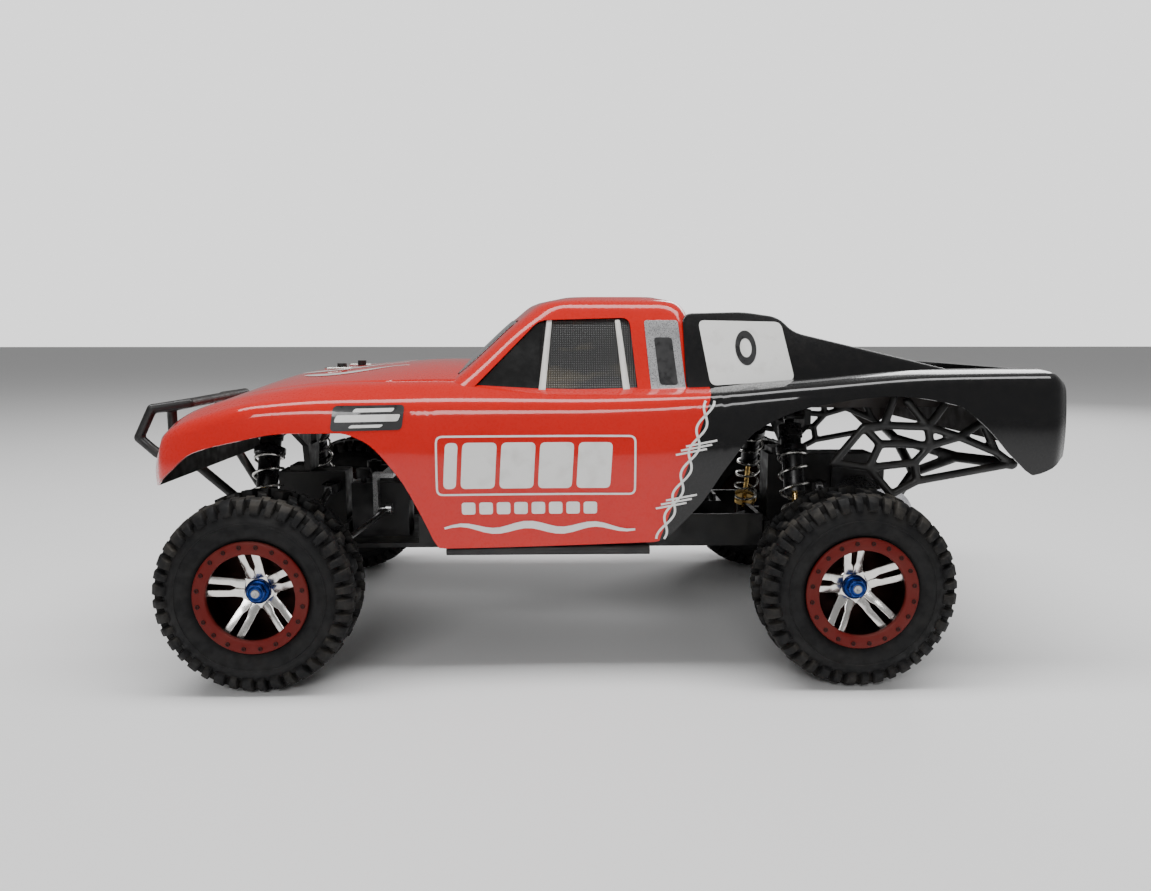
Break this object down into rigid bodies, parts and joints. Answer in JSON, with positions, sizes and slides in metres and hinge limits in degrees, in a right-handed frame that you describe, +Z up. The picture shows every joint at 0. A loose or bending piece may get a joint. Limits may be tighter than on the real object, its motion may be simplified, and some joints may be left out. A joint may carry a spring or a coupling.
{
  "type": "radio controlled short course truck",
  "caption": "Radio controlled off-road truck: thin race pickup shell on a tub chassis with sprung arms, oil shocks, steering linkage, lugged tyres and a rear gear drive.",
  "frame": {"origin": "centre of the bounding box on the ground, midway between nose and tail", "axes": "+X forward to the nose, +Y to the truck's left, +Z up"},
  "size_m": [0.5456, 0.296, 0.2175],
  "materials": {
    "tyre_rubber": "matt dusty rubber with chunky lugs",
    "rim_chrome": "satin chrome plated plastic",
    "ring_red": "dull red moulded ring",
    "nut_blue": "blue anodised lock nut on a steel stub axle",
    "arm_plastic": "black moulded nylon, satin",
    "link_steel": "zinc plated steel",
    "shock_black": "black shock body, satin",
    "shaft_gold": "gold coated polished shaft",
    "spring_steel": "bright spring wire",
    "gear_nylon": "black nylon gear",
    "chassis_plastic": "black moulded plastic with a fine grain",
    "shell_red": "glossy painted clear shell, red front and black rear",
    "shell_black": "glossy black",
    "decal_white": "white vinyl film",
    "window_dark": "dark tinted window",
    "battery_wrap": "shrink wrap film",
    "motor_can": "plated steel can",
    "case_black": "black moulded case"
  },
  "bodies": {
    "chassis": {"chassis_tub": "chassis_plastic", "front_bulkhead": "arm_plastic", "rear_gearbox": "arm_plastic", "front_shock_tower": "arm_plastic", "rear_shock_tower": "arm_plastic", "front_bumper": "chassis_plastic", "rear_bumper": "chassis_plastic", "body_shell": "shell_red", "body_clips": "spring_steel", "battery_pack": "battery_wrap", "drive_motor": "motor_can", "control_unit": "case_black", "steering_servo": "case_black"},
    "lower_arm_front_left": {"lower_arm_front_left": "arm_plastic"},
    "upper_link_front_left": {"upper_link_front_left": "link_steel"},
    "shock_body_front_left": {"shock_body_front_left": "shock_black", "spring_front_left": "spring_steel"},
    "shock_shaft_front_left": {"shock_shaft_front_left": "shaft_gold"},
    "caster_block_left": {"caster_block_left": "arm_plastic"},
    "steering_knuckle_left": {"steering_knuckle_left": "arm_plastic", "axle_front_left": "nut_blue"},
    "wheel_front_left": {"tyre_front_left": "tyre_rubber", "rim_front_left": "rim_chrome"},
    "tie_rod_left": {"tie_rod_left": "link_steel"},
    "lower_arm_front_right": {"lower_arm_front_right": "arm_plastic"},
    "upper_link_front_right": {"upper_link_front_right": "link_steel"},
    "shock_body_front_right": {"shock_body_front_right": "shock_black", "spring_front_right": "spring_steel"},
    "shock_shaft_front_right": {"shock_shaft_front_right": "shaft_gold"},
    "caster_block_right": {"caster_block_right": "arm_plastic"},
    "steering_knuckle_right": {"steering_knuckle_right": "arm_plastic", "axle_front_right": "nut_blue"},
    "wheel_front_right": {"tyre_front_right": "tyre_rubber", "rim_front_right": "rim_chrome"},
    "tie_rod_right": {"tie_rod_right": "link_steel"},
    "lower_arm_rear_left": {"lower_arm_rear_left": "arm_plastic"},
    "upper_link_rear_left": {"upper_link_rear_left": "link_steel"},
    "shock_body_rear_left": {"shock_body_rear_left": "shock_black", "spring_rear_left": "spring_steel"},
    "shock_shaft_rear_left": {"shock_shaft_rear_left": "shaft_gold"},
    "rear_carrier_left": {"rear_carrier_left": "arm_plastic"},
    "wheel_rear_left": {"tyre_rear_left": "tyre_rubber", "rim_rear_left": "rim_chrome", "axle_rear_left": "nut_blue"},
    "half_shaft_left": {"half_shaft_left": "arm_plastic"},
    "lower_arm_rear_right": {"lower_arm_rear_right": "arm_plastic"},
    "upper_link_rear_right": {"upper_link_rear_right": "link_steel"},
    "shock_body_rear_right": {"shock_body_rear_right": "shock_black", "spring_rear_right": "spring_steel"},
    "shock_shaft_rear_right": {"shock_shaft_rear_right": "shaft_gold"},
    "rear_carrier_right": {"rear_carrier_right": "arm_plastic"},
    "wheel_rear_right": {"tyre_rear_right": "tyre_rubber", "rim_rear_right": "rim_chrome", "axle_rear_right": "nut_blue"},
    "half_shaft_right": {"half_shaft_right": "arm_plastic"},
    "servo_saver": {"servo_saver": "arm_plastic"},
    "idler_arm": {"idler_arm": "arm_plastic"},
    "drag_link": {"drag_link": "link_steel"},
    "spur_gear": {"spur_gear": "gear_nylon"},
    "pinion_gear": {"pinion_gear": "link_steel"}
  },
  "joints": [
    {"name": "arm_swing_front_left", "type": "hinge", "parent": "chassis", "child": "lower_arm_front_left", "pos_m": [0.1725, 0.026, 0.065], "axis": [1, 0, 0], "range_deg": [-8, 16], "stiffness_Nm_per_rad": 2.3, "springref_deg": -8.59},
    {"name": "link_swing_front_left", "type": "hinge", "parent": "chassis", "child": "upper_link_front_left", "pos_m": [0.1605, 0.022, 0.092], "axis": [1, 0, 0], "range_deg": [-9, 17]},
    {"name": "carrier_tilt_front_left", "type": "hinge", "parent": "lower_arm_front_left", "child": "caster_block_left", "pos_m": [0.1725, 0.09827, 0.04496], "axis": [1, 0, 0], "range_deg": [-17, 9]},
    {"name": "shock_swing_front_left", "type": "hinge", "parent": "chassis", "child": "shock_body_front_left", "pos_m": [0.1885, 0.046, 0.142], "axis": [1, 0, 0], "range_deg": [-2.52, 4.76]},
    {"name": "shock_travel_front_left", "type": "slide", "parent": "shock_body_front_left", "child": "shock_shaft_front_left", "axis": [0, -0.3779, 0.9258], "range_m": [-0.00734, 0.01418], "deforming": ["spring_front_left"]},
    {"name": "steering", "type": "hinge", "parent": "caster_block_left", "child": "steering_knuckle_left", "pos_m": [0.1725, 0.108, 0.055], "axis": [0, 0, 1], "range_deg": [-20, 20]},
    {"name": "wheel_spin_front_left", "type": "hinge", "parent": "steering_knuckle_left", "child": "wheel_front_left", "pos_m": [0.1725, 0.1265, 0.055], "axis": [0, 1, 0], "continuous": true},
    {"name": "tie_rod_swing_left", "type": "hinge", "parent": "drag_link", "child": "tie_rod_left", "pos_m": [0.1185, 0.03573, 0.08104], "axis": [1, 0, 0], "range_deg": [-9, 17]},
    {"name": "arm_swing_front_right", "type": "hinge", "parent": "chassis", "child": "lower_arm_front_right", "pos_m": [0.1725, -0.026, 0.065], "axis": [-1, 0, 0], "range_deg": [-8, 16], "stiffness_Nm_per_rad": 2.3, "springref_deg": -8.59},
    {"name": "link_swing_front_right", "type": "hinge", "parent": "chassis", "child": "upper_link_front_right", "pos_m": [0.1605, -0.022, 0.092], "axis": [-1, 0, 0], "range_deg": [-9, 17]},
    {"name": "carrier_tilt_front_right", "type": "hinge", "parent": "lower_arm_front_right", "child": "caster_block_right", "pos_m": [0.1725, -0.09827, 0.04496], "axis": [-1, 0, 0], "range_deg": [-17, 9]},
    {"name": "shock_swing_front_right", "type": "hinge", "parent": "chassis", "child": "shock_body_front_right", "pos_m": [0.1885, -0.046, 0.142], "axis": [-1, 0, 0], "range_deg": [-2.52, 4.76]},
    {"name": "shock_travel_front_right", "type": "slide", "parent": "shock_body_front_right", "child": "shock_shaft_front_right", "axis": [0, 0.3779, 0.9258], "range_m": [-0.00734, 0.01418], "deforming": ["spring_front_right"]},
    {"name": "steering_right", "type": "hinge", "parent": "caster_block_right", "child": "steering_knuckle_right", "pos_m": [0.1725, -0.108, 0.055], "axis": [0, 0, 1], "range_deg": [-21, 21]},
    {"name": "wheel_spin_front_right", "type": "hinge", "parent": "steering_knuckle_right", "child": "wheel_front_right", "pos_m": [0.1725, -0.1265, 0.055], "axis": [0, 1, 0], "continuous": true},
    {"name": "tie_rod_swing_right", "type": "hinge", "parent": "drag_link", "child": "tie_rod_right", "pos_m": [0.1185, -0.03573, 0.08104], "axis": [-1, 0, 0], "range_deg": [-9, 17]},
    {"name": "arm_swing_rear_left", "type": "hinge", "parent": "chassis", "child": "lower_arm_rear_left", "pos_m": [-0.1575, 0.026, 0.065], "axis": [1, 0, 0], "range_deg": [-8, 22], "stiffness_Nm_per_rad": 2.3, "springref_deg": -8.59},
    {"name": "link_swing_rear_left", "type": "hinge", "parent": "chassis", "child": "upper_link_rear_left", "pos_m": [-0.1695, 0.022, 0.092], "axis": [1, 0, 0], "range_deg": [-9, 23]},
    {"name": "carrier_tilt_rear_left", "type": "hinge", "parent": "lower_arm_rear_left", "child": "rear_carrier_left", "pos_m": [-0.1575, 0.09827, 0.04496], "axis": [1, 0, 0], "range_deg": [-23, 9]},
    {"name": "shock_swing_rear_left", "type": "hinge", "parent": "chassis", "child": "shock_body_rear_left", "pos_m": [-0.1415, 0.046, 0.142], "axis": [1, 0, 0], "range_deg": [-2.38, 6.09]},
    {"name": "shock_travel_rear_left", "type": "slide", "parent": "shock_body_rear_left", "child": "shock_shaft_rear_left", "axis": [0, -0.3779, 0.9258], "range_m": [-0.00745, 0.01962], "deforming": ["spring_rear_left"]},
    {"name": "wheel_spin_rear_left", "type": "hinge", "parent": "rear_carrier_left", "child": "wheel_rear_left", "pos_m": [-0.1575, 0.1265, 0.055], "axis": [0, 1, 0], "continuous": true},
    {"name": "half_shaft_swing_left", "type": "hinge", "parent": "chassis", "child": "half_shaft_left", "pos_m": [-0.1575, 0.016, 0.07504], "axis": [1, 0, 0], "range_deg": [-9, 23]},
    {"name": "arm_swing_rear_right", "type": "hinge", "parent": "chassis", "child": "lower_arm_rear_right", "pos_m": [-0.1575, -0.026, 0.065], "axis": [-1, 0, 0], "range_deg": [-8, 22], "stiffness_Nm_per_rad": 2.3, "springref_deg": -8.59},
    {"name": "link_swing_rear_right", "type": "hinge", "parent": "chassis", "child": "upper_link_rear_right", "pos_m": [-0.1695, -0.022, 0.092], "axis": [-1, 0, 0], "range_deg": [-9, 23]},
    {"name": "carrier_tilt_rear_right", "type": "hinge", "parent": "lower_arm_rear_right", "child": "rear_carrier_right", "pos_m": [-0.1575, -0.09827, 0.04496], "axis": [-1, 0, 0], "range_deg": [-23, 9]},
    {"name": "shock_swing_rear_right", "type": "hinge", "parent": "chassis", "child": "shock_body_rear_right", "pos_m": [-0.1415, -0.046, 0.142], "axis": [-1, 0, 0], "range_deg": [-2.38, 6.09]},
    {"name": "shock_travel_rear_right", "type": "slide", "parent": "shock_body_rear_right", "child": "shock_shaft_rear_right", "axis": [0, 0.3779, 0.9258], "range_m": [-0.00745, 0.01962], "deforming": ["spring_rear_right"]},
    {"name": "wheel_spin_rear_right", "type": "hinge", "parent": "rear_carrier_right", "child": "wheel_rear_right", "pos_m": [-0.1575, -0.1265, 0.055], "axis": [0, 1, 0], "continuous": true},
    {"name": "half_shaft_swing_right", "type": "hinge", "parent": "chassis", "child": "half_shaft_right", "pos_m": [-0.1575, -0.016, 0.07504], "axis": [-1, 0, 0], "range_deg": [-9, 23]},
    {"name": "servo_saver_turn", "type": "hinge", "parent": "chassis", "child": "servo_saver", "pos_m": [0.1385, 0.018, 0.099], "axis": [0, 0, 1], "range_deg": [-21, 21]},
    {"name": "idler_turn", "type": "hinge", "parent": "chassis", "child": "idler_arm", "pos_m": [0.1385, -0.018, 0.099], "axis": [0, 0, 1], "range_deg": [-21, 21]},
    {"name": "drag_link_turn", "type": "hinge", "parent": "servo_saver", "child": "drag_link", "pos_m": [0.1185, 0.018, 0.104], "axis": [0, 0, 1], "range_deg": [-21, 21]},
    {"name": "spur_spin", "type": "hinge", "parent": "chassis", "child": "spur_gear", "pos_m": [-0.174, 0, 0.088], "axis": [0, 1, 0], "continuous": true},
    {"name": "pinion_spin", "type": "hinge", "parent": "chassis", "child": "pinion_gear", "pos_m": [-0.2, 0, 0.08], "axis": [0, 1, 0], "continuous": true}
  ],
  "couplings": [
    {"joint": "link_swing_front_left", "follows": "arm_swing_front_left", "ratio": 1},
    {"joint": "carrier_tilt_front_left", "follows": "arm_swing_front_left", "ratio": -1},
    {"joint": "shock_swing_front_left", "follows": "arm_swing_front_left", "ratio": 0.28},
    {"joint": "shock_travel_front_left", "follows": "arm_swing_front_left", "m_per_rad": 0.049},
    {"joint": "tie_rod_swing_left", "follows": "arm_swing_front_left", "ratio": 1},
    {"joint": "link_swing_front_right", "follows": "arm_swing_front_right", "ratio": 1},
    {"joint": "carrier_tilt_front_right", "follows": "arm_swing_front_right", "ratio": -1},
    {"joint": "shock_swing_front_right", "follows": "arm_swing_front_right", "ratio": 0.28},
    {"joint": "shock_travel_front_right", "follows": "arm_swing_front_right", "m_per_rad": 0.049},
    {"joint": "steering_right", "follows": "steering", "ratio": 1},
    {"joint": "tie_rod_swing_right", "follows": "arm_swing_front_right", "ratio": 1},
    {"joint": "link_swing_rear_left", "follows": "arm_swing_rear_left", "ratio": 1},
    {"joint": "carrier_tilt_rear_left", "follows": "arm_swing_rear_left", "ratio": -1},
    {"joint": "shock_swing_rear_left", "follows": "arm_swing_rear_left", "ratio": 0.265},
    {"joint": "shock_travel_rear_left", "follows": "arm_swing_rear_left", "m_per_rad": 0.0498},
    {"joint": "half_shaft_swing_left", "follows": "arm_swing_rear_left", "ratio": 1},
    {"joint": "link_swing_rear_right", "follows": "arm_swing_rear_right", "ratio": 1},
    {"joint": "carrier_tilt_rear_right", "follows": "arm_swing_rear_right", "ratio": -1},
    {"joint": "shock_swing_rear_right", "follows": "arm_swing_rear_right", "ratio": 0.265},
    {"joint": "shock_travel_rear_right", "follows": "arm_swing_rear_right", "m_per_rad": 0.0498},
    {"joint": "wheel_spin_rear_right", "follows": "wheel_spin_rear_left", "ratio": 1},
    {"joint": "half_shaft_swing_right", "follows": "arm_swing_rear_right", "ratio": 1},
    {"joint": "servo_saver_turn", "follows": "steering", "ratio": 1},
    {"joint": "idler_turn", "follows": "steering", "ratio": 1},
    {"joint": "drag_link_turn", "follows": "steering", "ratio": -1},
    {"joint": "spur_spin", "follows": "wheel_spin_rear_left", "ratio": 2.72},
    {"joint": "pinion_spin", "follows": "wheel_spin_rear_left", "ratio": -10.491}
  ]
}
